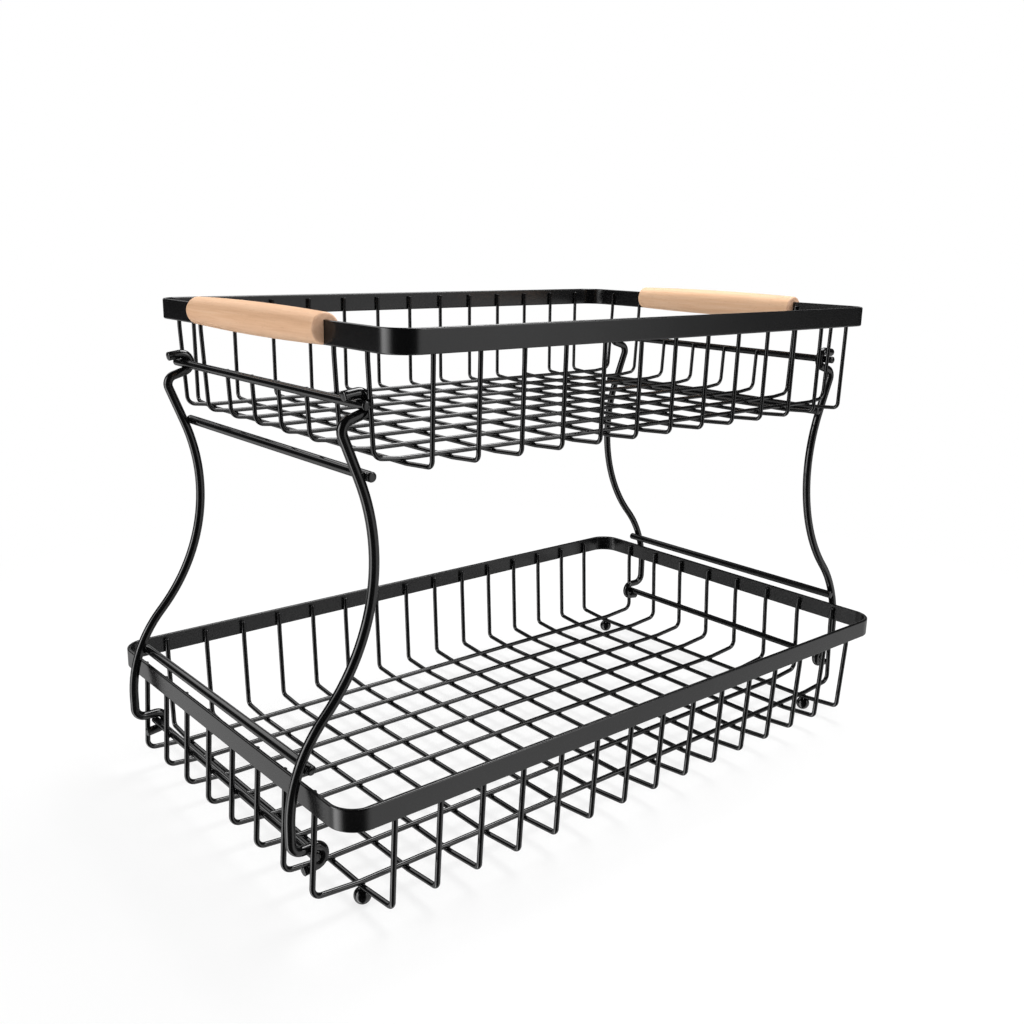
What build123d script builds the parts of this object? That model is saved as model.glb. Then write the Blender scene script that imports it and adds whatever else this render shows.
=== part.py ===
from build123d import *
from dataclasses import dataclass
import math
import os

# A two-tier countertop basket. Two welded wire baskets stand one above the other,
# joined by two wire side frames that hook round a rod at each end of each basket.
# Millimetres, +Z up. The origin is under the middle of the object, at table height.
# Long wires and the long sides of the rims run along X, cross wires along Y.

# Wire and strip sections; the upper basket's mesh is of thinner wire
lower_mesh_wire = 2.8
upper_mesh_wire = 2.2
rod_wire = 4.2
frame_wire = 4.8
strip_thickness = 2.0
strip_height = 11.0
strip_corner_radius = 14.0

# Welds: how deep two welded pieces melt into each other
weld_sink = 0.1

# Mesh of both baskets: wires along X are alike in number and spacing, wires along Y in spacing
long_count = 8
long_spacing = 26.8
cross_spacing = 25.0
end_bend_radius = 5.0
side_bend_radius = 3.2
wire_end_drop = 2.7

# The floor runs rise gently to the walls, from just past the outermost crossings
rise_start = 2.0
rise_bend_radius = 20.0

# Walls lean up to a slight kink below the rim; the bend takes this share of the wire above it
kink_drop = 3.0
kink_bend_share = 0.15

# Ball feet
foot_diameter = 8.6
foot_flat_depth = 0.25
foot_sink = 1.05

# Lower basket: bays between the outermost wires of its floor and its walls, how far the floor
# rises across them, how far the rim stands in from the floor's ends and out past its sides,
# and how high rim and rods are above the underside of the mesh
lower_cross_count = 15
lower_end_bay = 26.6
lower_side_bay = 25.1
lower_bay_rise = 2.1
lower_rim_inset = 2.5
lower_side_overhang = 2.6
lower_rim_rise = 50.4
lower_rod_rise = 23.9

# Upper basket: the same, with the underside of its mesh above the table, and a rim that
# stands out past the floor on all sides
upper_underside = 207.3
upper_cross_count = 13
upper_end_bay = 15.5
upper_side_bay = 21.0
upper_bay_rise = 1.4
upper_rim_overhang = 2.4
upper_side_overhang = 0.8
upper_rim_rise = 50.6
upper_rod_rise = 28.0

# Finger gap: this many middle long wires stop just below the tops of the upper rods
short_count = 4
short_wire_drop = 1.0

# Side frames: each leg stands inside the outermost long wires, and the rods and bars run past it
leg_wire_gap = 0.75
lower_rod_overhang = 2.0
upper_rod_overhang = 6.2
bar_overhang = 2.5
lower_bar_gap = 6.1
upper_bar_gap = 3.1

# Bow of a leg, from the bottom: ankle bend, short upright outside the lower rim, knee above
# that rim, waist inside the upper rod, shoulder bend outside it
leg_rim_gap = 4.2
ankle_radius = 6.0
upright_length = 7.5
knee_rise = 8.0
waist_inset = 23.0
waist_height_share = 0.555
waist_straight = 1.9
shoulder_offset = 10.0
shoulder_droop = 17.0
shoulder_radius = 5.0

# Hooks round the rods
hook_clearance = 0.3
hook_tip_length = 6.5
hook_tip_droop = 8.0

# Wooden handles, slotted over the end strips of the upper rim between two long wires
handle_end_gap = 1.75
handle_end_diameter = 14.2
handle_middle_diameter = 16.0
handle_edge_radius = 1.2
handle_slot_clearance = 0.15

# How far cutting tools run past the surface that they cut
overrun = 5.0

# Axis of a hook's ring, and how often the search along a leg halves its span
hook_radius = rod_wire / 2 + hook_clearance + frame_wire / 2
halving_steps = 30


def centred_row(count, spacing):
    """Places of equally spaced things, centred on zero."""
    return [(index - (count - 1) / 2) * spacing for index in range(count)]


# Places of the long wires and legs across the object, and the first of the short long wires
long_row = centred_row(long_count, long_spacing)
leg_offset = long_row[-1] - max(lower_mesh_wire, upper_mesh_wire) / 2 - leg_wire_gap - frame_wire / 2
first_short = (long_count - short_count) // 2


@dataclass(frozen=True)
class Tier:
    """One basket. Reaches are distances from the middle to wire axes."""

    name: str
    mesh_wire: float
    underside: float
    cross_count: int
    end_bay: float
    side_bay: float
    bay_rise: float
    rim_overhang: float
    side_overhang: float
    rim_rise: float
    rod_rise: float
    rod_overhang: float
    rods_outside: bool
    has_finger_gap: bool

    @property
    def cross_row(self):
        return centred_row(self.cross_count, cross_spacing)

    @property
    def end_floor_reach(self):
        return self.cross_row[-1] + self.end_bay

    @property
    def end_rim_reach(self):
        return self.end_floor_reach + self.rim_overhang

    @property
    def side_floor_reach(self):
        return long_row[-1] + self.side_bay

    @property
    def side_rim_reach(self):
        return self.side_floor_reach + self.side_overhang

    @property
    def cross_axis_z(self):
        return self.underside + self.mesh_wire / 2

    @property
    def long_axis_z(self):
        return self.cross_axis_z + self.mesh_wire - weld_sink

    @property
    def rim_bottom(self):
        return self.underside + self.rim_rise

    @property
    def rim_top(self):
        return self.rim_bottom + strip_height

    @property
    def wire_top(self):
        return self.rim_top - wire_end_drop

    @property
    def kink_z(self):
        return self.rim_bottom - kink_drop

    @property
    def end_corner_z(self):
        return self.long_axis_z + self.bay_rise

    @property
    def end_lean(self):
        """Outward travel of an end wall per unit of height."""
        return self.rim_overhang / (self.kink_z - self.end_corner_z)

    def end_wall_reach(self, height):
        return self.end_floor_reach + self.end_lean * (height - self.end_corner_z)

    @property
    def rod_height(self):
        return self.underside + self.rod_rise

    @property
    def rod_reach(self):
        """Axis of the end rods, welded against the leaning end wall."""
        wall = self.end_wall_reach(self.rod_height)
        spacing = (self.mesh_wire / 2 + rod_wire / 2 - weld_sink) / math.cos(math.atan(self.end_lean))
        return wall + spacing if self.rods_outside else wall - spacing

    @property
    def strip_inner_x(self):
        return self.end_rim_reach + self.mesh_wire / 2 - weld_sink

    @property
    def strip_inner_y(self):
        return self.side_rim_reach + self.mesh_wire / 2 - weld_sink

    def is_short(self, index):
        """The middle long wires stop at the rods, to leave the finger gap open."""
        return self.has_finger_gap and first_short <= index < first_short + short_count


lower_tier = Tier(
    name="lower",
    mesh_wire=lower_mesh_wire,
    underside=foot_diameter - foot_flat_depth - foot_sink,
    cross_count=lower_cross_count,
    end_bay=lower_end_bay,
    side_bay=lower_side_bay,
    bay_rise=lower_bay_rise,
    rim_overhang=-lower_rim_inset,
    side_overhang=lower_side_overhang,
    rim_rise=lower_rim_rise,
    rod_rise=lower_rod_rise,
    rod_overhang=lower_rod_overhang,
    rods_outside=False,
    has_finger_gap=False,
)
upper_tier = Tier(
    name="upper",
    mesh_wire=upper_mesh_wire,
    underside=upper_underside,
    cross_count=upper_cross_count,
    end_bay=upper_end_bay,
    side_bay=upper_side_bay,
    bay_rise=upper_bay_rise,
    rim_overhang=upper_rim_overhang,
    side_overhang=upper_side_overhang,
    rim_rise=upper_rim_rise,
    rod_rise=upper_rod_rise,
    rod_overhang=upper_rod_overhang,
    rods_outside=True,
    has_finger_gap=True,
)


def round_bar(path, diameter):
    """Round wire along a path."""
    section = Plane(origin=path @ 0, z_dir=path % 0) * Circle(diameter / 2)
    return sweep(section, path=path)


def bent_wire(points, radii, diameter):
    """Round wire along straight runs joined by tangent arcs."""
    return round_bar(FilletPolyline(*points, radius=radii), diameter)


def straight_bar(x, z, half_length, diameter):
    """Round bar parallel to Y."""
    start = (x, -half_length, z)
    end = (x, half_length, z)
    return round_bar(Line(start, end), diameter)


def half_turn_tangent(before, corner, after):
    """Tangent of half the angle that a path turns by at a corner."""
    turn = (corner - before).get_angle(after - corner)
    return math.tan(math.radians(turn / 2))


def wall_points(tier, floor_z, last_crossing, floor_reach, rim_reach):
    """Corners of one half of a full-height mesh wire as reach and height, from its top to the floor."""
    return [(rim_reach, tier.wire_top), (rim_reach, tier.kink_z), (floor_reach, floor_z + tier.bay_rise),
            (last_crossing + rise_start, floor_z)]


def kink_radius(points):
    """Radius of the slight bend below the rim, at the second of these corners."""
    top, kink, corner = [Vector(*point) for point in points[:3]]
    return kink_bend_share * (top - kink).length / half_turn_tangent(top, kink, corner)


def long_wire(tier, index):
    """U-shaped wire along X: floor run and both leaning end walls."""
    points = wall_points(tier, tier.long_axis_z, tier.cross_row[-1], tier.end_floor_reach, tier.end_rim_reach)
    radii = [kink_radius(points), end_bend_radius, rise_bend_radius]
    if tier.is_short(index):
        top = tier.rod_height + rod_wire / 2 - short_wire_drop
        points = [(tier.end_wall_reach(top), top)] + points[2:]
        radii = radii[1:]
    left = [(-x, long_row[index], z) for x, z in points]
    right = [(x, long_row[index], z) for x, z in reversed(points)]
    return bent_wire(left + right, radii + radii[::-1], tier.mesh_wire)


def cross_wire(tier, index):
    """U-shaped wire along Y: floor run and both leaning side walls."""
    x = tier.cross_row[index]
    points = wall_points(tier, tier.cross_axis_z, long_row[-1], tier.side_floor_reach, tier.side_rim_reach)
    radii = [kink_radius(points), side_bend_radius, rise_bend_radius]
    front = [(x, -y, z) for y, z in points]
    rear = [(x, y, z) for y, z in reversed(points)]
    return bent_wire(front + rear, radii + radii[::-1], tier.mesh_wire)


def rim(tier):
    """Flat strip on edge, bent into a rounded rectangle round the wire ends."""
    inner_radius = strip_corner_radius - strip_thickness
    inner = RectangleRounded(2 * tier.strip_inner_x, 2 * tier.strip_inner_y, inner_radius)
    outer = RectangleRounded(2 * (tier.strip_inner_x + strip_thickness),
                             2 * (tier.strip_inner_y + strip_thickness), strip_corner_radius)
    return Pos(0, 0, tier.rim_bottom) * extrude(outer - inner, strip_height)


def end_rods(tier):
    """The pair of rods that the side frames hook round, one at each end."""
    rods = [straight_bar(side * tier.rod_reach, tier.rod_height, leg_offset + tier.rod_overhang, rod_wire)
            for side in (-1, 1)]
    return Compound(children=rods)


def ball_feet(tier):
    """Four balls welded under the outermost wire crossings, each with a small flat."""
    radius = foot_diameter / 2
    centre_z = radius - foot_flat_depth
    below = Pos(0, 0, -overrun / 2) * Box(foot_diameter + overrun, foot_diameter + overrun, overrun)
    seat = Pos(0, 0, tier.cross_axis_z) * Rot(90, 0, 0) * Cylinder(tier.mesh_wire / 2, foot_diameter + overrun)
    foot = Pos(0, 0, centre_z) * Sphere(radius) - below - seat
    return Compound(children=[Pos(side_x * tier.cross_row[-1], side_y * long_row[-1], 0) * foot
                              for side_x in (-1, 1) for side_y in (-1, 1)])


def leg_corners():
    """Corners of a leg's bow as reach and height, from its upper ring to its lower ring."""
    droop = math.radians(shoulder_droop)
    outward = Vector(math.cos(droop), -math.sin(droop))
    ring = Vector(upper_tier.rod_reach, upper_tier.rod_height)
    upper_end = ring + Vector(-math.sin(droop), -math.cos(droop)) * hook_radius
    shoulder_reach = upper_tier.rod_reach + shoulder_offset
    shoulder = upper_end + outward * ((shoulder_reach - upper_end.X) / outward.X)

    rod_gap = upper_tier.rod_height - lower_tier.rod_height
    waist = Vector(upper_tier.rod_reach - waist_inset, lower_tier.rod_height + waist_height_share * rod_gap)
    leg_reach = lower_tier.strip_inner_x + strip_thickness + leg_rim_gap + frame_wire / 2
    knee = Vector(leg_reach, lower_tier.rim_top + knee_rise)
    ankle = Vector(leg_reach, lower_tier.rod_height + hook_radius)
    lower_end = Vector(lower_tier.rod_reach, ankle.Y)
    return [upper_end, shoulder, waist, knee, ankle, lower_end]


def leg_bow(side, y):
    """Axis of a leg between its rings: straight runs and the bends between them."""
    corners = leg_corners()
    upper_end, shoulder, waist, knee, ankle, lower_end = corners
    shoulder_turn = half_turn_tangent(upper_end, shoulder, waist)
    waist_turn = half_turn_tangent(shoulder, waist, knee)
    knee_turn = half_turn_tangent(waist, knee, ankle)
    knee_bend = (knee - ankle).length - ankle_radius - upright_length
    waist_bend = min((shoulder - waist).length - shoulder_radius * shoulder_turn,
                     (waist - knee).length - knee_bend) - waist_straight
    radii = [shoulder_radius, waist_bend / waist_turn, knee_bend / knee_turn, ankle_radius]
    return FilletPolyline(*[(side * corner.X, y, corner.Y) for corner in corners], radius=radii)


def hook_curve(side, y, tier, start_angle, end_angle):
    """Arc round a rod, then the straight tip. Angles turn from outward towards up."""

    def on_arc(angle):
        turn = math.radians(angle)
        x = tier.rod_reach + hook_radius * math.cos(turn)
        return Vector(side * x, y, tier.rod_height + hook_radius * math.sin(turn))

    arc = ThreePointArc(on_arc(start_angle), on_arc((start_angle + end_angle) / 2), on_arc(end_angle))
    tip = Line(arc @ 1, arc @ 1 + (arc % 1) * hook_tip_length)
    return arc, tip


def leg(side, y):
    """Bowed leg with a hook at each end, bent from one wire."""
    bow = leg_bow(side, y)
    upper_arc, upper_tip = hook_curve(side, y, upper_tier, -90 - shoulder_droop, -270 - hook_tip_droop)
    lower_arc, lower_tip = hook_curve(side, y, lower_tier, 90, 270 - hook_tip_droop)
    path = Wire(upper_tip.edges() + upper_arc.edges() + bow.edges() + lower_arc.edges() + lower_tip.edges())
    return round_bar(path, frame_wire)


def leg_axis(height):
    """Reach and direction of a leg's axis at a height, found on the bow by halving."""
    bow = leg_bow(1, 0)
    above = 0.0
    below = 1.0
    for _ in range(halving_steps):
        middle = (above + below) / 2
        if (bow @ middle).Z > height:
            above = middle
        else:
            below = middle
    return (bow @ above).X, bow % above


def crossbar(side, height):
    """Bar welded to the inner side of both legs of a frame."""
    reach, tangent = leg_axis(height)
    spacing = frame_wire - weld_sink
    x = reach + tangent.Z * spacing
    z = height - tangent.X * spacing
    return straight_bar(side * x, z, leg_offset + bar_overhang, frame_wire)


def handle(side):
    """Turned wooden grip, thickest in the middle, slotted over the end strip."""
    end_radius = handle_end_diameter / 2
    half = long_row[first_short + short_count] - upper_tier.mesh_wire / 2 - handle_end_gap
    start = (end_radius, -half)
    end = (end_radius, half)
    outline = Wire([Line((0, -half), start), ThreePointArc(start, (handle_middle_diameter / 2, 0), end),
                    Line(end, (0, half)), Line((0, half), (0, -half))])
    profile = make_face(outline)
    corners = [vertex for vertex in profile.vertices() if vertex.X > end_radius / 2]
    turned = revolve(fillet(corners, handle_edge_radius), Axis.Y)
    strip_x = upper_tier.strip_inner_x + strip_thickness / 2
    axis_z = upper_tier.rim_bottom + end_radius
    grip = Pos(side * strip_x, 0, axis_z) * turned

    slot_bottom = axis_z - handle_middle_diameter / 2 - overrun
    slot_height = upper_tier.rim_top - slot_bottom
    slot = Box(strip_thickness + 2 * handle_slot_clearance, 2 * half + overrun, slot_height)
    return grip - Pos(side * strip_x, 0, slot_bottom + slot_height / 2) * slot


def basket_parts(tier):
    """Every piece that is welded into one basket."""
    parts = {f"{tier.name}_rim": rim(tier), f"{tier.name}_end_rods": end_rods(tier)}
    for index in range(long_count):
        parts[f"{tier.name}_long_wire_{index + 1}"] = long_wire(tier, index)
    for index in range(tier.cross_count):
        parts[f"{tier.name}_cross_wire_{index + 1}"] = cross_wire(tier, index)
    return parts


def frame_parts(side, name):
    """One side frame: two legs and the two bars between them."""
    lower_bar = lower_tier.rim_top + lower_bar_gap + frame_wire / 2
    upper_bar = upper_tier.underside - upper_bar_gap - frame_wire / 2
    return {
        f"{name}_leg_front": leg(side, -leg_offset),
        f"{name}_leg_rear": leg(side, leg_offset),
        f"{name}_crossbar_lower": crossbar(side, lower_bar),
        f"{name}_crossbar_upper": crossbar(side, upper_bar),
    }


def main():
    parts = basket_parts(lower_tier) | basket_parts(upper_tier)
    parts["ball_feet"] = ball_feet(lower_tier)
    for side, name in ((-1, "left"), (1, "right")):
        parts |= frame_parts(side, name)
        parts[f"handle_{name}"] = handle(side)
    os.makedirs("parts", exist_ok=True)
    for node, shape in parts.items():
        export_step(shape, f"parts/{node}.step")
    print(len(parts), "parts")
    for tier in (lower_tier, upper_tier):
        print(tier.name, "rod axis at x", round(tier.rod_reach, 3), "z", round(tier.rod_height, 3))


if __name__ == "__main__":
    main()
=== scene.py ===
"""Looks of a two-tier wire basket: powder-coated steel wire, beech grips, studio and camera.

Everything is in metres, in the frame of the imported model: +Z up, the long sides along X,
the table at height zero.
"""

import logging
import math
from dataclasses import dataclass, field
from enum import Enum

import bmesh
import bpy
from mathutils import Matrix, Vector


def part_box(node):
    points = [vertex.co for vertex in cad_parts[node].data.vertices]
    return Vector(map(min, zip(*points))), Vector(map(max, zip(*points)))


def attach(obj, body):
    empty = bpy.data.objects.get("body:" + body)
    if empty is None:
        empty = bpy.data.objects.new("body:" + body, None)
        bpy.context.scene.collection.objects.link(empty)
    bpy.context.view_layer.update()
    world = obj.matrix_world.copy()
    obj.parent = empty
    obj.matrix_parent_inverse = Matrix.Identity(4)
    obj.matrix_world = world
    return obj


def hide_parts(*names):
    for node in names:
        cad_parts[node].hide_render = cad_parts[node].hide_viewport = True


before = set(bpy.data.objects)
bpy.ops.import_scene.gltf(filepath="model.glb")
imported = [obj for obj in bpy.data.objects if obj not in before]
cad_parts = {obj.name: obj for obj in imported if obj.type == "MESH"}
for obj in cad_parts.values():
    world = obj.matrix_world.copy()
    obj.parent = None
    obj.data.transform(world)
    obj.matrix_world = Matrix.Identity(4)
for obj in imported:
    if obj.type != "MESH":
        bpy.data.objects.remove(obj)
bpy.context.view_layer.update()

MM = 0.001
log = logging.getLogger("basket")


class Body(Enum):
    """Bodies of the model that pieces ride on."""

    LOWER_BASKET = "lower_basket"
    UPPER_BASKET = "upper_basket"
    LEFT_FRAME = "left_frame"
    RIGHT_FRAME = "right_frame"


class Slot(Enum):
    """Material slots of the record."""

    COAT = "black_powder_coat"
    WOOD = "beech"


class Tier(Enum):
    """The two baskets, by the word that their nodes start with."""

    LOWER = "lower"
    UPPER = "upper"


class Side(Enum):
    """Ends of the object along X, with their sign."""

    LEFT = -1
    RIGHT = 1

    @property
    def word(self) -> str:
        """Word that the nodes of this side carry."""
        return self.name.lower()


class NodeGraph:
    """Shader nodes of one material or world, wired up by socket name."""

    def __init__(self, tree: bpy.types.NodeTree) -> None:
        """Start an empty graph.

        Args:
            tree: The node tree to fill; what it held is removed.
        """
        self.tree = tree
        self.tree.nodes.clear()

    def add(self, kind: str, settings: dict[str, object] | None = None,
            **inputs: object) -> bpy.types.Node:
        """Add a node.

        Args:
            kind: Blender's type name of the node.
            settings: Properties of the node itself.
            inputs: Socket values or source sockets. An underscore stands for a space.

        Returns:
            The new node.
        """
        node = self.tree.nodes.new(kind)
        for name, value in (settings or {}).items():
            setattr(node, name, value)
        for name, value in inputs.items():
            self.feed(node.inputs[name.replace("_", " ")], value)
        return node

    def feed(self, socket: bpy.types.NodeSocket, value: object) -> None:
        """Give a socket a value or link it.

        Args:
            socket: The input socket.
            value: A plain value, or the output socket to link from.
        """
        if isinstance(value, bpy.types.NodeSocket):
            self.tree.links.new(value, socket)
        else:
            socket.default_value = value

    def maths(self, operation: str, *values: object) -> bpy.types.NodeSocket:
        """Add a Math node.

        Args:
            operation: Name of the operation.
            values: Its operands, as numbers or sockets.

        Returns:
            The result socket.
        """
        node = self.add("ShaderNodeMath", {"operation": operation})
        for socket, value in zip(node.inputs, values):
            self.feed(socket, value)
        return node.outputs["Value"]

    def vector_maths(self, operation: str, *values: object) -> bpy.types.Node:
        """Add a Vector Math node.

        Args:
            operation: Name of the operation.
            values: Its operands, as vectors or sockets.

        Returns:
            The node, whose result is its Vector or its Value output.
        """
        node = self.add("ShaderNodeVectorMath", {"operation": operation})
        for socket, value in zip(node.inputs, values):
            self.feed(socket, value)
        return node

    def mix_colours(self, factor: object, first: object, second: object) -> bpy.types.NodeSocket:
        """Mix two colours.

        Args:
            factor: How much of the second colour shows.
            first: First colour or its socket.
            second: Second colour or its socket.

        Returns:
            The colour socket.
        """
        node = self.add("ShaderNodeMixRGB", Fac=factor, Color1=first, Color2=second)
        return node.outputs["Color"]

    def mix_shaders(self, share: object, first: object, second: object) -> bpy.types.NodeSocket:
        """Mix two shaders.

        Args:
            share: How much of the second shader shows.
            first: Socket of the first shader.
            second: Socket of the second shader.

        Returns:
            The mixed shader.
        """
        mixed = self.add("ShaderNodeMixShader", Fac=share)
        self.feed(mixed.inputs[1], first)
        self.feed(mixed.inputs[2], second)
        return mixed.outputs["Shader"]

    def noise(self, coordinates: object, size: float, detail: float) -> bpy.types.NodeSocket:
        """Add a noise texture.

        Args:
            coordinates: Socket with the place on the surface, in metres.
            size: Width of one spot of the noise, in metres.
            detail: How many finer layers it holds.

        Returns:
            The factor socket.
        """
        node = self.add("ShaderNodeTexNoise", Vector=coordinates, Scale=1 / size, Detail=detail)
        return node.outputs["Fac"]

    def ramp(self, factor: object, stops: list[tuple[float, tuple[float, float, float]]]
             ) -> bpy.types.NodeSocket:
        """Add a colour ramp.

        Args:
            factor: Socket that picks the colour.
            stops: Places from 0 to 1 with their colours.

        Returns:
            The colour socket.
        """
        node = self.add("ShaderNodeValToRGB", Fac=factor)
        elements = node.color_ramp.elements
        while len(elements) < len(stops):
            elements.new(1.0)
        for element, (place, colour) in zip(elements, stops):
            element.position = place
            element.color = (*colour, 1.0)
        return node.outputs["Color"]

    def spread(self, value: object, low: tuple[float, float], high: tuple[float, float]
               ) -> bpy.types.NodeSocket:
        """Map one range of a value onto another, clamped.

        Args:
            value: Socket with the value.
            low: Lower end of the range, and what it becomes.
            high: Upper end of the range, and what it becomes.

        Returns:
            The result socket.
        """
        node = self.add("ShaderNodeMapRange", Value=value, From_Min=low[0], From_Max=high[0],
                        To_Min=low[1], To_Max=high[1])
        return node.outputs["Result"]


@dataclass(frozen=True)
class PowderCoat:
    """Satin black powder coat: near-black, with the slight orange peel of a baked coat."""

    name: str
    roughness: float
    peel_strength: float
    slot: Slot = Slot.COAT
    darker: tuple[float, float, float] = (0.0028, 0.0028, 0.0030)
    lighter: tuple[float, float, float] = (0.0048, 0.0048, 0.0051)
    specular: float = 0.40
    tone_size: float = 22 * MM
    tone_detail: float = 3.0
    grain_size: float = 0.35 * MM
    grain_detail: float = 1.0
    roughness_swing: float = 0.02
    peel_size: float = 1.1 * MM
    peel_detail: float = 2.0
    peel_height: float = 0.012 * MM
    noise_low: float = 0.3
    noise_high: float = 0.7

    def material(self) -> bpy.types.Material:
        """Build the material.

        Returns:
            The material, made once for each name.
        """
        if self.name in bpy.data.materials:
            return bpy.data.materials[self.name]
        material = bpy.data.materials.new(self.name)
        material.use_nodes = True
        graph = NodeGraph(material.node_tree)
        place = graph.add("ShaderNodeTexCoord").outputs["Object"]
        tone = graph.noise(place, self.tone_size, self.tone_detail)
        colour = graph.ramp(tone, [(self.noise_low, self.darker), (self.noise_high, self.lighter)])
        grain = graph.noise(place, self.grain_size, self.grain_detail)
        roughness = graph.spread(grain, (self.noise_low, self.roughness - self.roughness_swing),
                                 (self.noise_high, self.roughness + self.roughness_swing))
        peel = graph.noise(place, self.peel_size, self.peel_detail)
        bump = graph.add("ShaderNodeBump", Strength=self.peel_strength,
                         Distance=self.peel_height, Height=peel)
        shader = graph.add("ShaderNodeBsdfPrincipled", Base_Color=colour, Roughness=roughness,
                           Specular_IOR_Level=self.specular, Normal=bump.outputs["Normal"])
        graph.add("ShaderNodeOutputMaterial", Surface=shader.outputs["BSDF"])
        return material


@dataclass(frozen=True)
class TurnedBeech:
    """Fine-sanded beech with a clear matt finish: long fibres, short ray flecks, darker end grain.

    Names that end in from and at hold the value of the noise where a colour starts and is full.
    """

    name: str = "turned_beech"
    slot: Slot = Slot.WOOD
    pale: tuple[float, float, float] = (0.79, 0.52, 0.335)
    pale_at: float = 0.64
    warm: tuple[float, float, float] = (0.735, 0.45, 0.27)
    warm_at: float = 0.5
    deep: tuple[float, float, float] = (0.65, 0.375, 0.215)
    deep_at: float = 0.36
    fleck: tuple[float, float, float] = (0.50, 0.275, 0.155)
    fleck_from: float = 0.63
    fleck_at: float = 0.74
    fleck_opacity: float = 0.35
    end_pale: tuple[float, float, float] = (0.74, 0.47, 0.31)
    end_pale_at: float = 0.65
    end_deep: tuple[float, float, float] = (0.64, 0.38, 0.24)
    end_deep_at: float = 0.35
    roughness: float = 0.48
    specular: float = 0.35
    band_size: float = 9 * MM
    band_detail: float = 2.0
    band_share: float = 0.6
    fibre_size: float = 0.9 * MM
    fibre_detail: float = 4.0
    fibre_share: float = 0.4
    fibre_stretch: float = 28.0
    fleck_size: float = 0.45 * MM
    fleck_detail: float = 1.0
    fleck_stretch: float = 6.0
    ring_size: float = 2.4 * MM
    ring_detail: float = 3.0
    fibre_height: float = 0.02 * MM
    fibre_strength: float = 0.4
    side_cosine: float = 0.45
    end_cosine: float = 0.65

    def along_grain(self, graph: NodeGraph, place: object, stretch: float) -> bpy.types.NodeSocket:
        """Stretch the surface coordinates along Y, the length of the grip.

        Args:
            graph: The material's nodes.
            place: Socket with the place on the surface.
            stretch: How many times longer a spot is along the grain than across it.

        Returns:
            Socket with the stretched place.
        """
        scale = (1.0, 1.0 / stretch, 1.0)
        return graph.add("ShaderNodeMapping", Vector=place, Scale=scale).outputs["Vector"]

    def material(self) -> bpy.types.Material:
        """Build the material.

        Returns:
            The material, made once.
        """
        if self.name in bpy.data.materials:
            return bpy.data.materials[self.name]
        material = bpy.data.materials.new(self.name)
        material.use_nodes = True
        graph = NodeGraph(material.node_tree)
        coordinates = graph.add("ShaderNodeTexCoord")
        place = coordinates.outputs["Object"]
        long_way = self.along_grain(graph, place, self.fibre_stretch)
        bands = graph.noise(long_way, self.band_size, self.band_detail)
        fibres = graph.noise(long_way, self.fibre_size, self.fibre_detail)
        blend = graph.maths("ADD", graph.maths("MULTIPLY", bands, self.band_share),
                            graph.maths("MULTIPLY", fibres, self.fibre_share))
        side = graph.ramp(blend, [(self.deep_at, self.deep), (self.warm_at, self.warm),
                                  (self.pale_at, self.pale)])
        short_way = self.along_grain(graph, place, self.fleck_stretch)
        flecks = graph.noise(short_way, self.fleck_size, self.fleck_detail)
        shown = graph.spread(flecks, (self.fleck_from, 0.0), (self.fleck_at, self.fleck_opacity))
        side = graph.mix_colours(shown, side, (*self.fleck, 1.0))
        rings = graph.noise(place, self.ring_size, self.ring_detail)
        end = graph.ramp(rings, [(self.end_deep_at, self.end_deep), (self.end_pale_at, self.end_pale)])
        facing = graph.add("ShaderNodeSeparateXYZ", Vector=coordinates.outputs["Normal"])
        endwise = graph.spread(graph.maths("ABSOLUTE", facing.outputs["Y"]),
                               (self.side_cosine, 0.0), (self.end_cosine, 1.0))
        colour = graph.mix_colours(endwise, side, end)
        bump = graph.add("ShaderNodeBump", Strength=self.fibre_strength, Distance=self.fibre_height,
                         Height=fibres)
        shader = graph.add("ShaderNodeBsdfPrincipled", Base_Color=colour, Roughness=self.roughness,
                           Specular_IOR_Level=self.specular, Normal=bump.outputs["Normal"])
        graph.add("ShaderNodeOutputMaterial", Surface=shader.outputs["BSDF"])
        return material


Finish = PowderCoat | TurnedBeech

WIRE_COAT = PowderCoat(name="powder_coat_on_wire", roughness=0.13, peel_strength=0.06)
STRIP_COAT = PowderCoat(name="powder_coat_on_strip", roughness=0.22, peel_strength=0.10)
BEECH = TurnedBeech()


def dress(node: str, finish: Finish) -> None:
    """Give a CAD node its finish.

    Args:
        node: Name of the node.
        finish: The finish that covers it.
    """
    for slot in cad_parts[node].material_slots:
        slot.material = finish.material()


def make_piece(name: str, shape: bmesh.types.BMesh, finish: Finish, body: Body) -> bpy.types.Object:
    """Turn a finished shape into a piece that rides on a body.

    Args:
        name: Name of the piece.
        shape: Its mesh, which is freed.
        finish: The finish that covers it.
        body: The body that carries it.

    Returns:
        The new object.
    """
    mesh = bpy.data.meshes.new(name)
    bmesh.ops.recalc_face_normals(shape, faces=shape.faces)
    shape.to_mesh(mesh)
    shape.free()
    mesh.shade_smooth()
    mesh.materials.append(finish.material())
    piece = bpy.data.objects.new(name, mesh)
    bpy.context.scene.collection.objects.link(piece)
    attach(piece, body.value)
    return piece


@dataclass(frozen=True)
class EndDisc:
    """Flat cut end of a wire: its centre, the way it faces and its radius."""

    centre: Vector
    facing: Vector
    radius: float


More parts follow.
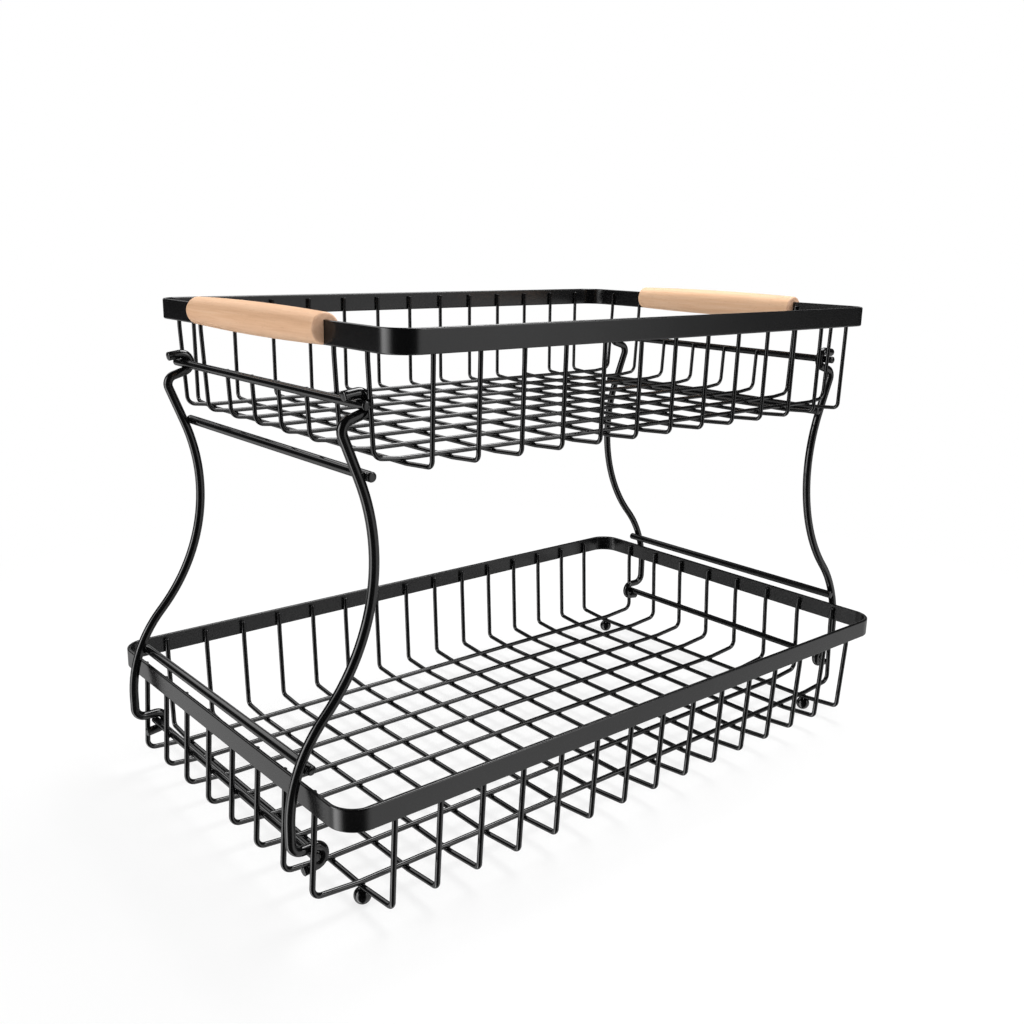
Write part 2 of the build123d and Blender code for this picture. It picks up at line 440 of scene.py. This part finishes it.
@dataclass(frozen=True)
class WireTips:
    """Coat-rounded tips on the cut ends of wires.

    Flat faces belong to one cut end when they face the same way, lie in one plane and are close.
    """

    sides: int = 24
    rings: int = 6
    height_share: float = 0.3
    edge_power: float = 2.6
    same_way_cosine: float = 0.999
    plane_gap: float = 0.01 * MM
    disc_reach: float = 6 * MM
    least_corners: int = 30

    def find_discs(self, node: str) -> list[EndDisc]:
        """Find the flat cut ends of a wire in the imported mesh.

        Args:
            node: Name of the node, made of one or more round wires.

        Returns:
            One disc for each cut end.
        """
        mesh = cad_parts[node].data
        groups: list[tuple[Vector, Vector, list[Vector]]] = []
        for face in mesh.polygons:
            if face.use_smooth:
                continue
            corners = [mesh.vertices[index].co for index in face.vertices]
            for normal, origin, members in groups:
                offset = face.center - origin
                same_way = normal.dot(face.normal) > self.same_way_cosine
                same_plane = abs(offset.dot(normal)) < self.plane_gap
                if same_way and same_plane and offset.length < self.disc_reach:
                    members.extend(corners)
                    break
            else:
                groups.append((face.normal.copy(), face.center.copy(), list(corners)))
        discs = []
        for normal, _, members in groups:
            if len(members) < self.least_corners:
                continue
            low = Vector(min(point[axis] for point in members) for axis in range(3))
            high = Vector(max(point[axis] for point in members) for axis in range(3))
            centre = (low + high) / 2
            radius = max((point - centre).length for point in members)
            discs.append(EndDisc(centre, normal, radius))
        return discs

    def add_tip(self, shape: bmesh.types.BMesh, disc: EndDisc) -> None:
        """Add one tip: a cap with a rounded edge and a nearly flat middle.

        Args:
            shape: Mesh to add to.
            disc: The cut end that it covers.
        """
        turn = disc.facing.to_track_quat("Z", "Y").to_matrix()
        height = disc.radius * self.height_share
        rows = []
        for ring in range(self.rings):
            angle = math.pi / 2 * ring / self.rings
            out = disc.radius * math.cos(angle) ** (2 / self.edge_power)
            up = height * math.sin(angle) ** (2 / self.edge_power)
            row = []
            for side in range(self.sides):
                around = 2 * math.pi * side / self.sides
                local = Vector((out * math.cos(around), out * math.sin(around), up))
                row.append(shape.verts.new(disc.centre + turn @ local))
            rows.append(row)
        for lower, upper in zip(rows, rows[1:]):
            for side in range(self.sides):
                following = (side + 1) % self.sides
                shape.faces.new((lower[side], lower[following], upper[following], upper[side]))
        crown = shape.verts.new(disc.centre + turn @ Vector((0.0, 0.0, height)))
        for side in range(self.sides):
            shape.faces.new((rows[-1][side], rows[-1][(side + 1) % self.sides], crown))

    def build(self, name: str, nodes: list[str], body: Body) -> bpy.types.Object:
        """Build the tips of several nodes as one piece.

        Args:
            name: Name of the piece.
            nodes: The nodes whose cut ends get a tip.
            body: The body that carries them.

        Returns:
            The new object.
        """
        shape = bmesh.new()
        count = 0
        for node in nodes:
            for disc in self.find_discs(node):
                self.add_tip(shape, disc)
                count += 1
        log.info("%s: %d tips", name, count)
        return make_piece(name, shape, WIRE_COAT, body)


@dataclass(frozen=True)
class Welds:
    """Small fused beads, under the coat, where two wires cross."""

    detail: int = 2

    def add_bead(self, shape: bmesh.types.BMesh, centre: Vector, half: Vector,
                 turn: Matrix | None = None) -> None:
        """Add one bead.

        Args:
            shape: Mesh to add to.
            centre: Middle of the contact.
            half: Half of its size along its own X, Y and Z.
            turn: How it is turned, if at all.
        """
        matrix = Matrix.Translation(centre)
        if turn is not None:
            matrix = matrix @ turn.to_4x4()
        matrix = matrix @ Matrix.Diagonal((*half, 1.0))
        bmesh.ops.create_icosphere(shape, subdivisions=self.detail, radius=1.0, matrix=matrix)


@dataclass
class StripRim:
    """Rim of a basket: a flat strip on edge with rounded edges, bent into a rounded rectangle."""

    tier: Tier
    body: Body
    thickness: float = 2.0 * MM
    corner_radius: float = 14.0 * MM
    corner_steps: int = 24
    edge_radius: float = 0.8 * MM
    edge_steps: int = 5
    flat_face_weight: int = 100

    @property
    def node(self) -> str:
        """The CAD node that the rim stands for."""
        return f"{self.tier.value}_rim"

    def route(self) -> list[tuple[Vector, Vector]]:
        """Walk once round the middle of the strip.

        Returns:
            Points in the plan with the outward direction at each.
        """
        _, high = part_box(self.node)
        radius = self.corner_radius
        stations = []
        for quarter in range(4):
            sign_x = 1 if quarter in (0, 3) else -1
            sign_y = 1 if quarter in (0, 1) else -1
            centre = Vector((sign_x * (high.x - radius), sign_y * (high.y - radius)))
            for step in range(self.corner_steps + 1):
                angle = math.pi / 2 * (quarter + step / self.corner_steps)
                outward = Vector((math.cos(angle), math.sin(angle)))
                stations.append((centre + outward * (radius - self.thickness / 2), outward))
        return stations

    def section(self) -> list[tuple[float, float]]:
        """Outline of the strip, cut across.

        Returns:
            Pairs of outward place and height above the middle of the strip.
        """
        low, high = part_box(self.node)
        reach = self.thickness / 2 - self.edge_radius
        rise = (high.z - low.z) / 2 - self.edge_radius
        points = []
        for quarter, (sign_out, sign_up) in enumerate(((1, 1), (-1, 1), (-1, -1), (1, -1))):
            for step in range(self.edge_steps + 1):
                angle = math.pi / 2 * (quarter + step / self.edge_steps)
                points.append((sign_out * reach + self.edge_radius * math.cos(angle),
                               sign_up * rise + self.edge_radius * math.sin(angle)))
        return points

    def build(self) -> bpy.types.Object:
        """Build the rim.

        Returns:
            The new object.
        """
        low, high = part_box(self.node)
        middle = (low.z + high.z) / 2
        shape = bmesh.new()
        rows = []
        for place, outward in self.route():
            row = []
            for out, up in self.section():
                point = place + outward * out
                row.append(shape.verts.new((point.x, point.y, middle + up)))
            rows.append(row)
        for index, row in enumerate(rows):
            after = rows[(index + 1) % len(rows)]
            for corner in range(len(row)):
                following = (corner + 1) % len(row)
                shape.faces.new((row[corner], after[corner], after[following], row[following]))
        piece = make_piece(f"{self.tier.value}_strip_rim", shape, STRIP_COAT, self.body)
        weighted = piece.modifiers.new("flat_faces", "WEIGHTED_NORMAL")
        weighted.mode = "FACE_AREA"
        weighted.weight = self.flat_face_weight
        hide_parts(self.node)
        log.info("%s: strip %.1f mm high", piece.name, (high.z - low.z) / MM)
        return piece


@dataclass
class WireBasket:
    """One basket: mesh of bent wires, strip rim, rods and the welds that join them.

    The beads are sized in radii of the mesh wire.
    """

    tier: Tier
    body: Body
    cross_bead: Vector = field(default_factory=lambda: Vector((1.1, 1.1, 0.5)))
    rod_bead: Vector = field(default_factory=lambda: Vector((0.5, 1.2, 1.3)))
    rim_bead: Vector = field(default_factory=lambda: Vector((1.25, 0.35, 2.3)))

    @property
    def wire_radius(self) -> float:
        """Radius of this basket's mesh wire."""
        low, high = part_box(self.nodes("cross_wire")[0])
        return (high.x - low.x) / 2

    def nodes(self, kind: str) -> list[str]:
        """Names of this basket's nodes of one kind, in order."""
        start = f"{self.tier.value}_{kind}"
        return sorted(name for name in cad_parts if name.startswith(start))

    def floor_welds(self, welds: Welds, shape: bmesh.types.BMesh) -> int:
        """Add a bead at every crossing of the floor.

        Args:
            welds: Maker of the beads.
            shape: Mesh to add to.

        Returns:
            How many beads were added.
        """
        count = 0
        for long_name in self.nodes("long_wire"):
            long_low, long_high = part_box(long_name)
            y = (long_low.y + long_high.y) / 2
            for cross_name in self.nodes("cross_wire"):
                cross_low, cross_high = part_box(cross_name)
                x = (cross_low.x + cross_high.x) / 2
                z = cross_low.z + (cross_high.x - cross_low.x)
                welds.add_bead(shape, Vector((x, y, z)), self.cross_bead * self.wire_radius)
                count += 1
        return count

    def rod_welds(self, welds: Welds, shape: bmesh.types.BMesh) -> int:
        """Add a bead where each long wire crosses a rod.

        Args:
            welds: Maker of the beads.
            shape: Mesh to add to.

        Returns:
            How many beads were added.
        """
        rod_low, rod_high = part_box(f"{self.tier.value}_end_rods")
        rod_radius = (rod_high.z - rod_low.z) / 2
        height = (rod_low.z + rod_high.z) / 2
        wall_way = -1 if self.tier is Tier.UPPER else 1
        count = 0
        for name in self.nodes("long_wire"):
            low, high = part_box(name)
            y = (low.y + high.y) / 2
            if not rod_low.y < y < rod_high.y:
                continue
            for side in Side:
                x = side.value * (rod_high.x - rod_radius + wall_way * rod_radius)
                welds.add_bead(shape, Vector((x, y, height)), self.rod_bead * self.wire_radius)
                count += 1
        return count

    def rim_welds(self, welds: Welds, shape: bmesh.types.BMesh) -> int:
        """Add a bead where each wire meets the inner face of the rim.

        Args:
            welds: Maker of the beads.
            shape: Mesh to add to.

        Returns:
            How many beads were added.
        """
        rim_low, rim_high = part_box(f"{self.tier.value}_rim")
        height = (rim_low.z + rim_high.z) / 2
        inner = StripRim(self.tier, self.body).thickness
        count = 0
        for name in self.nodes("cross_wire"):
            low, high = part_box(name)
            for way in (-1, 1):
                place = Vector(((low.x + high.x) / 2, way * (rim_high.y - inner), height))
                welds.add_bead(shape, place, self.rim_bead * self.wire_radius)
                count += 1
        end_bead = Vector((self.rim_bead.y, self.rim_bead.x, self.rim_bead.z)) * self.wire_radius
        for name in self.nodes("long_wire"):
            low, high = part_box(name)
            if high.z < rim_low.z:
                continue
            for way in (-1, 1):
                place = Vector((way * (rim_high.x - inner), (low.y + high.y) / 2, height))
                welds.add_bead(shape, place, end_bead)
                count += 1
        return count

    def build(self) -> None:
        """Dress the wires and build the rim, the tips and the welds."""
        wires = self.nodes("long_wire") + self.nodes("cross_wire") + self.nodes("end_rods")
        for name in wires:
            dress(name, WIRE_COAT)
        StripRim(self.tier, self.body).build()
        WireTips().build(f"{self.tier.value}_wire_tips", wires, self.body)
        welds = Welds()
        shape = bmesh.new()
        floor = self.floor_welds(welds, shape)
        rods = self.rod_welds(welds, shape)
        rims = self.rim_welds(welds, shape)
        make_piece(f"{self.tier.value}_weld_beads", shape, WIRE_COAT, self.body)
        log.info("%s basket: %d wires, welds: %d floor, %d rod, %d rim",
                 self.tier.value, len(wires), floor, rods, rims)


@dataclass
class SideFrame:
    """One side frame: two bowed legs with hooks, and the two bars between them.

    The beads are sized in radii of the bar.
    """

    side: Side
    body: Body
    bead: Vector = field(default_factory=lambda: Vector((0.95, 0.95, 0.35)))

    def nodes(self, kind: str) -> list[str]:
        """Names of this frame's nodes of one kind."""
        start = f"{self.side.word}_{kind}"
        return sorted(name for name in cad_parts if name.startswith(start))

    def bar_welds(self, shape: bmesh.types.BMesh) -> None:
        """Add a bead where each bar meets each leg.

        Args:
            shape: Mesh to add to.
        """
        welds = Welds()
        for bar in self.nodes("crossbar"):
            bar_low, bar_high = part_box(bar)
            radius = (bar_high.z - bar_low.z) / 2
            for leg in self.nodes("leg"):
                leg_low, leg_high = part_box(leg)
                y = (leg_low.y + leg_high.y) / 2
                axis = Vector(((bar_low.x + bar_high.x) / 2, y, (bar_low.z + bar_high.z) / 2))
                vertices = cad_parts[leg].data.vertices
                nearest = min((vertex.co for vertex in vertices), key=lambda place: (place - axis).length)
                towards = Vector((nearest.x - axis.x, 0.0, nearest.z - axis.z)).normalized()
                turn = towards.to_track_quat("Z", "Y").to_matrix()
                welds.add_bead(shape, axis + towards * radius, self.bead * radius, turn)

    def build(self) -> None:
        """Dress the legs and bars and build the tips and the welds."""
        members = self.nodes("leg") + self.nodes("crossbar")
        for name in members:
            dress(name, WIRE_COAT)
        WireTips().build(f"{self.side.word}_frame_tips", members, self.body)
        shape = bmesh.new()
        self.bar_welds(shape)
        make_piece(f"{self.side.word}_frame_welds", shape, WIRE_COAT, self.body)
        log.info("%s frame: %d members", self.side.word, len(members))


@dataclass
class Grip:
    """Turned wooden grip over an end strip of the upper rim."""

    side: Side

    def build(self) -> None:
        """Dress the grip in wood."""
        dress(f"handle_{self.side.word}", BEECH)
        log.info("handle_%s: beech", self.side.word)


@dataclass
class Feet:
    """Ball feet welded under the outermost crossings."""

    node: str = "ball_feet"

    def build(self) -> None:
        """Dress the feet in powder coat."""
        dress(self.node, WIRE_COAT)
        log.info("%s: powder coat", self.node)


@dataclass(frozen=True)
class SoftBox:
    """Rectangular studio lamp that faces the object."""

    name: str
    place: tuple[float, float, float]
    width: float
    height: float
    watts: float
    aim: tuple[float, float, float] = (0.0, 0.0, 0.13)

    def build(self) -> bpy.types.Object:
        """Hang the lamp.

        Returns:
            The lamp.
        """
        data = bpy.data.lights.new(self.name, "AREA")
        data.shape = "RECTANGLE"
        data.size = self.width
        data.size_y = self.height
        data.energy = self.watts
        lamp = bpy.data.objects.new(self.name, data)
        lamp.location = self.place
        towards = Vector(self.aim) - Vector(self.place)
        lamp.rotation_euler = towards.to_track_quat("-Z", "Y").to_euler()
        bpy.context.scene.collection.objects.link(lamp)
        return lamp


@dataclass(frozen=True)
class ReflectedPanel:
    """Bright panel that the coat mirrors.

    Its bottom and top are given as the sines of their angles above the horizon.
    """

    heading: float
    half_width: float
    white: float
    bottom: float = -1.0
    top: float = 0.52
    soft_edge: float = 5.0
    soft_rise: float = 0.08


@dataclass
class Studio:
    """Plain white floor and surroundings with soft lamps.

    In reflections the surroundings are white on the floor and in the panels, dimmer on the floor
    behind the object, and dark elsewhere and behind the camera. Headings are in degrees from +X
    towards +Y. A rise is the sine of an angle above the horizon, and a cosine is that of the
    angle from the camera's heading.
    """

    floor_radius: float = 6.0
    floor_corners: int = 96
    floor_albedo: float = 0.8
    floor_white_share: float = 0.78
    shadow_radius: float = 0.30
    plain_radius: float = 0.60
    ambient: float = 0.53
    camera_heading: float = -130.0
    panels: tuple[ReflectedPanel, ...] = (
        ReflectedPanel(heading=-60.0, half_width=17.0, white=1.3),
        ReflectedPanel(heading=172.0, half_width=18.0, white=5.5),
        ReflectedPanel(heading=50.0, half_width=40.0, white=0.8, bottom=0.0, top=0.20),
        ReflectedPanel(heading=88.0, half_width=24.0, white=2.4, bottom=0.45, top=0.75),
    )
    floor_white: float = 0.9
    floor_full_rise: float = -0.24
    floor_end_rise: float = -0.12
    far_floor_share: float = 0.25
    far_floor_cosine: float = -0.85
    near_floor_cosine: float = -0.50
    darkest: float = 0.03
    camera_dark_share: float = 0.05
    camera_dark_cosine: float = 0.80
    camera_clear_cosine: float = 0.50
    lamps: tuple[SoftBox, ...] = (
        SoftBox("overhead", (0.45, 0.10, 1.20), 0.6, 0.6, 16.0),
        SoftBox("left_side", (-1.15, 0.35, 0.65), 0.4, 0.9, 4.5),
        SoftBox("front_right", (0.75, -1.15, 0.75), 0.6, 0.6, 5.0),
    )

    def build_floor(self) -> None:
        """Lay the white floor, which keeps the faint shadow of the object."""
        material = bpy.data.materials.new("white_floor")
        material.use_nodes = True
        graph = NodeGraph(material.node_tree)
        paper = graph.add("ShaderNodeBsdfDiffuse", Color=(*[self.floor_albedo] * 3, 1.0))
        white = graph.add("ShaderNodeEmission", Strength=1.0)
        place = graph.add("ShaderNodeTexCoord").outputs["Object"]
        distance = graph.vector_maths("LENGTH", place).outputs["Value"]
        share = graph.spread(distance, (self.shadow_radius, self.floor_white_share),
                             (self.plain_radius, 1.0))
        rays = graph.add("ShaderNodeLightPath").outputs
        seen = graph.maths("MAXIMUM", rays["Is Camera Ray"], rays["Is Transmission Ray"])
        shown = graph.mix_shaders(graph.maths("MULTIPLY", seen, share), paper.outputs["BSDF"],
                                  white.outputs["Emission"])
        open_way = graph.add("ShaderNodeBsdfTransparent").outputs["BSDF"]
        surface = graph.mix_shaders(rays["Is Glossy Ray"], shown, open_way)
        graph.add("ShaderNodeOutputMaterial", Surface=surface)
        shape = bmesh.new()
        bmesh.ops.create_circle(shape, cap_ends=True, segments=self.floor_corners,
                                radius=self.floor_radius)
        mesh = bpy.data.meshes.new("floor")
        shape.to_mesh(mesh)
        shape.free()
        mesh.materials.append(material)
        floor = bpy.data.objects.new("floor", mesh)
        bpy.context.scene.collection.objects.link(floor)

    def towards(self, graph: NodeGraph, way: object, heading: float) -> bpy.types.NodeSocket:
        """How nearly a direction has a heading.

        Args:
            graph: Nodes of the surroundings.
            way: Socket with the direction, level or not.
            heading: The heading in degrees.

        Returns:
            Cosine of the angle between them.
        """
        angle = math.radians(heading)
        aim = (math.cos(angle), math.sin(angle), 0.0)
        return graph.vector_maths("DOT_PRODUCT", way, aim).outputs["Value"]

    def panel_light(self, graph: NodeGraph, panel: ReflectedPanel, level: object, rise: object
                    ) -> bpy.types.NodeSocket:
        """How bright a panel is in a direction, with soft edges.

        Args:
            graph: Nodes of the surroundings.
            panel: The panel.
            level: Socket with the direction, laid level.
            rise: Socket with the sine of its angle above the horizon.

        Returns:
            The brightness, which is nothing outside the panel.
        """
        outer = math.cos(math.radians(panel.half_width + panel.soft_edge))
        inner = math.cos(math.radians(panel.half_width - panel.soft_edge))
        beside = graph.spread(self.towards(graph, level, panel.heading),
                              (outer, 0.0), (inner, panel.white))
        over = graph.spread(rise, (panel.bottom - panel.soft_rise, 0.0),
                            (panel.bottom + panel.soft_rise, 1.0))
        under = graph.spread(rise, (panel.top - panel.soft_rise, 1.0),
                             (panel.top + panel.soft_rise, 0.0))
        return graph.maths("MULTIPLY", beside, graph.maths("MULTIPLY", over, under))

    def build_surroundings(self) -> None:
        """Make the surroundings: white to the eye, and bright and dark parts in reflections."""
        world = bpy.data.worlds.new("surroundings")
        world.use_nodes = True
        graph = NodeGraph(world.node_tree)
        way = graph.add("ShaderNodeTexCoord").outputs["Generated"]
        rise = graph.add("ShaderNodeSeparateXYZ", Vector=way).outputs["Z"]
        flat = graph.vector_maths("MULTIPLY", way, (1.0, 1.0, 0.0)).outputs["Vector"]
        level = graph.vector_maths("NORMALIZE", flat).outputs["Vector"]
        below = graph.spread(rise, (self.floor_full_rise, self.floor_white),
                             (self.floor_end_rise, self.darkest))
        camera_way = self.towards(graph, level, self.camera_heading)
        far_floor = graph.spread(camera_way, (self.far_floor_cosine, self.far_floor_share),
                                 (self.near_floor_cosine, 1.0))
        bright = graph.maths("MULTIPLY", below, far_floor)
        for panel in self.panels:
            bright = graph.maths("MAXIMUM", bright, self.panel_light(graph, panel, level, rise))
        clear = graph.spread(camera_way, (self.camera_clear_cosine, 1.0),
                             (self.camera_dark_cosine, self.camera_dark_share))
        mirrored = graph.maths("MULTIPLY", bright, clear)
        rays = graph.add("ShaderNodeLightPath").outputs
        eye = graph.maths("MAXIMUM", rays["Is Camera Ray"], rays["Is Transmission Ray"])
        shown_white = graph.maths("MAXIMUM", eye, mirrored)
        light = graph.add("ShaderNodeBackground", Strength=self.ambient)
        shown = graph.add("ShaderNodeBackground", Strength=shown_white)
        for background in (light, shown):
            background.inputs["Color"].default_value = (1.0, 1.0, 1.0, 1.0)
        seen = graph.maths("MAXIMUM", eye, rays["Is Glossy Ray"])
        surface = graph.mix_shaders(seen, light.outputs["Background"], shown.outputs["Background"])
        graph.add("ShaderNodeOutputWorld", Surface=surface)
        bpy.context.scene.world = world

    def build(self) -> None:
        """Set up the floor, the surroundings and the lamps."""
        self.build_floor()
        self.build_surroundings()
        for lamp in self.lamps:
            lamp.build()
        bpy.context.scene.view_settings.view_transform = "Standard"
        log.info("studio: %d soft boxes", len(self.lamps))


@dataclass(frozen=True)
class Viewpoint:
    """Camera at the viewing angle of the photograph."""

    place: tuple[float, float, float] = (-0.41181, -0.47317, 0.30420)
    heading: float = 49.44
    tilt: float = -14.33
    roll: float = 1.12
    focal_pixels: float = 1069.1
    picture_pixels: float = 1024.0
    sensor: float = 36.0

    def axes(self) -> Matrix:
        """Axes of the camera as the columns of a rotation: right, up and back.

        Returns:
            The rotation.
        """
        heading = math.radians(self.heading)
        tilt = math.radians(self.tilt)
        roll = math.radians(self.roll)
        forward = Vector((math.cos(heading) * math.cos(tilt), math.sin(heading) * math.cos(tilt),
                          math.sin(tilt)))
        level = Vector((math.sin(heading), -math.cos(heading), 0.0))
        above = level.cross(forward)
        right = math.cos(roll) * level + math.sin(roll) * above
        up = math.cos(roll) * above - math.sin(roll) * level
        return Matrix((right, up, -forward)).transposed()

    def build(self) -> bpy.types.Object:
        """Set up the camera.

        Returns:
            The camera.
        """
        data = bpy.data.cameras.new("camera")
        data.sensor_width = self.sensor
        data.lens = self.focal_pixels / self.picture_pixels * self.sensor
        camera = bpy.data.objects.new("camera", data)
        camera.matrix_world = Matrix.Translation(self.place) @ self.axes().to_4x4()
        bpy.context.scene.collection.objects.link(camera)
        bpy.context.scene.camera = camera
        log.info("camera: lens %.2f mm", data.lens)
        return camera


def main() -> None:
    """Build every sub-assembly in order, then the studio and the camera."""
    logging.basicConfig(level=logging.INFO, format="%(name)s: %(message)s")
    WireBasket(Tier.LOWER, Body.LOWER_BASKET).build()
    WireBasket(Tier.UPPER, Body.UPPER_BASKET).build()
    Feet().build()
    SideFrame(Side.LEFT, Body.LEFT_FRAME).build()
    SideFrame(Side.RIGHT, Body.RIGHT_FRAME).build()
    for side in Side:
        Grip(side).build()
    Studio().build()
    Viewpoint().build()


if __name__ == "__main__":
    main()
